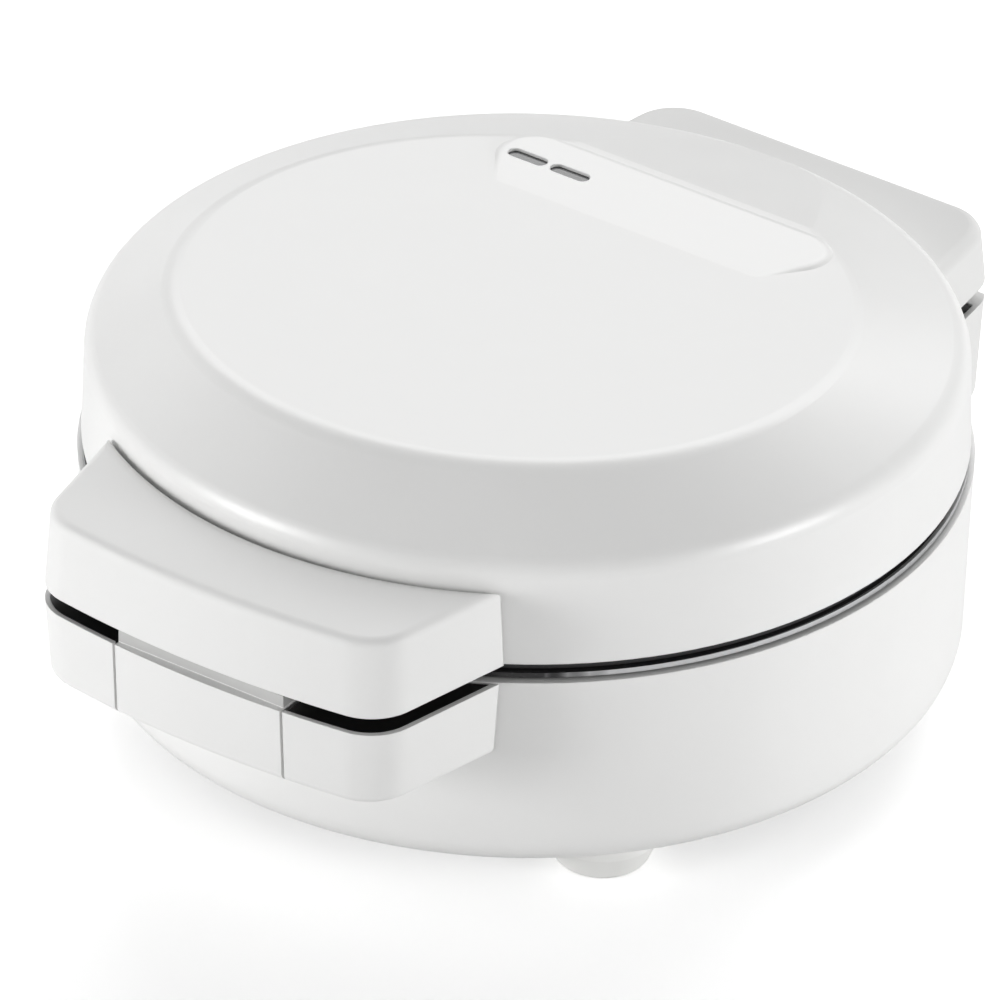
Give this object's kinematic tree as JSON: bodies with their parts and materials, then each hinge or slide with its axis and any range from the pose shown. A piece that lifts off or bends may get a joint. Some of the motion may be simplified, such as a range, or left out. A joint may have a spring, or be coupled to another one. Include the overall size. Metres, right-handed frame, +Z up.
{
  "type": "donut maker",
  "caption": "Round electric donut maker with a hinged lid, paired ring moulds, a split front handle with a latch, indicator lamps and a rear hinge block.",
  "frame": {"origin": "on the table under the middle of the whole object's outline", "axes": "+Y towards the hinge, -Y towards the handle and latch, +Z up"},
  "size_m": [0.218, 0.2666, 0.113],
  "materials": {
    "shell_white": "glossy moulded",
    "grip_white": "fine spark-eroded texture",
    "latch_white": "glossy moulded",
    "liner_black": "satin moulded",
    "foot_white": "soft matt",
    "bush_black": "soft matt",
    "plate_coated": "die-cast, non-stick coated",
    "shield_bright": "rolled sheet",
    "element_steel": "drawn tube",
    "screw_steel": "zinc plated",
    "spring_steel": "drawn wire",
    "control_black": "moulded phenolic",
    "terminal_cream": "moulded",
    "lens_smoked": "polished, smoked",
    "lamp_glass": "clear"
  },
  "bodies": {
    "base": {"base_shell": "shell_white", "feet": "foot_white", "base_plate_screws": "screw_steel", "lower_baking_plate": "plate_coated", "lower_heating_element": "element_steel", "lower_element_clamps": "screw_steel", "lower_clamp_screws": "screw_steel", "lower_heat_shield": "shield_bright", "lower_handle": "grip_white", "lower_handle_cover": "liner_black", "lower_handle_screws": "screw_steel", "lower_hinge_block": "grip_white", "lower_hinge_cover": "liner_black", "lower_hinge_screws": "screw_steel", "hinge_pin": "screw_steel", "hinge_plug": "grip_white", "cord_bush": "bush_black", "latch_pin": "screw_steel", "latch_spring": "spring_steel", "thermostat": "control_black", "thermal_fuse": "control_black", "fuse_clip": "screw_steel", "fuse_screw": "screw_steel", "terminal_block": "terminal_cream", "terminal_screw": "screw_steel"},
    "latch": {"latch_lever": "latch_white"},
    "lid": {"lid_shell": "shell_white", "upper_baking_plate": "plate_coated", "upper_heating_element": "element_steel", "upper_element_clamps": "screw_steel", "upper_clamp_screws": "screw_steel", "upper_heat_shield": "shield_bright", "lid_plate_screws": "screw_steel", "upper_handle": "grip_white", "upper_handle_cover": "liner_black", "upper_handle_screws": "screw_steel", "upper_hinge_block": "grip_white", "upper_hinge_cover": "liner_black", "upper_hinge_screws": "screw_steel", "power_lens": "lens_smoked", "ready_lens": "lens_smoked", "power_lamp": "lamp_glass", "ready_lamp": "lamp_glass", "lamp_bracket": "screw_steel", "lamp_bracket_screw": "screw_steel"}
  },
  "joints": [
    {"name": "lid_hinge", "type": "hinge", "parent": "base", "child": "lid", "pos_m": [0, 0.1257, 0.0664], "axis": [-1, 0, 0], "range_deg": [0, 100]},
    {"name": "latch_pivot", "type": "hinge", "parent": "base", "child": "latch", "pos_m": [0, -0.125, 0.058], "axis": [-1, 0, 0], "range_deg": [-5, 10], "stiffness_Nm_per_rad": 0.05, "deforming": ["latch_spring"]}
  ]
}
